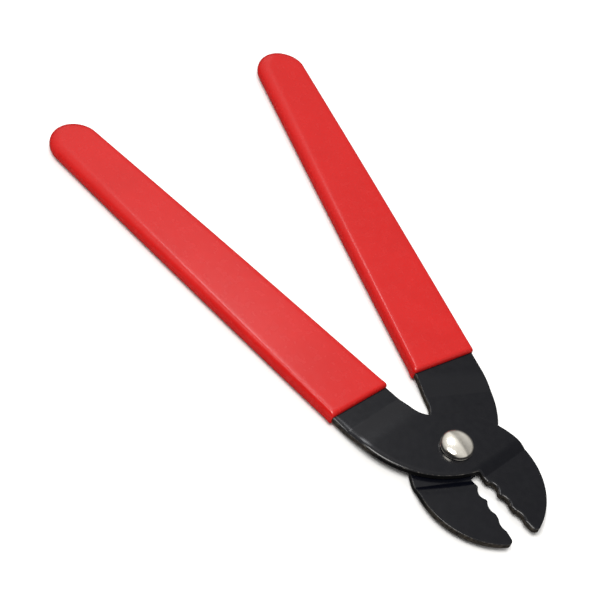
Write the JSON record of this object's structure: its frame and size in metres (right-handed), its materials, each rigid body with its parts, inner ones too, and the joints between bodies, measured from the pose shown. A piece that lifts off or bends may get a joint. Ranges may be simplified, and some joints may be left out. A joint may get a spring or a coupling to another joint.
{
  "type": "snap setter pliers",
  "caption": "Hand pliers for pressing snaps: bent plate levers crossing at a domed rivet, with wavy facing jaws and dipped vinyl grips.",
  "frame": {"origin": "centre of the rivet's tail face, the lowest face of the tool", "axes": "+X along the tool's long axis from the rivet towards the jaw tips, +Z along the rivet towards its domed head, +Y completes the right-handed set; the handles point along -X"},
  "size_m": [0.2189, 0.1124, 0.01],
  "materials": {
    "black_coat": "semi-gloss black coat on stamped steel",
    "nickel": "polished nickel plate",
    "red_vinyl": "satin dipped vinyl"
  },
  "bodies": {
    "rear_side": {"rear_lever": "black_coat", "rear_grip": "red_vinyl", "pivot_rivet": "nickel"},
    "front_side": {"front_lever": "black_coat", "front_grip": "red_vinyl"}
  },
  "joints": [
    {"name": "pivot", "type": "hinge", "parent": "rear_side", "child": "front_side", "pos_m": [0, 0, 0.004], "axis": [0, 0, 1], "range_deg": [-13.5, 16]}
  ]
}
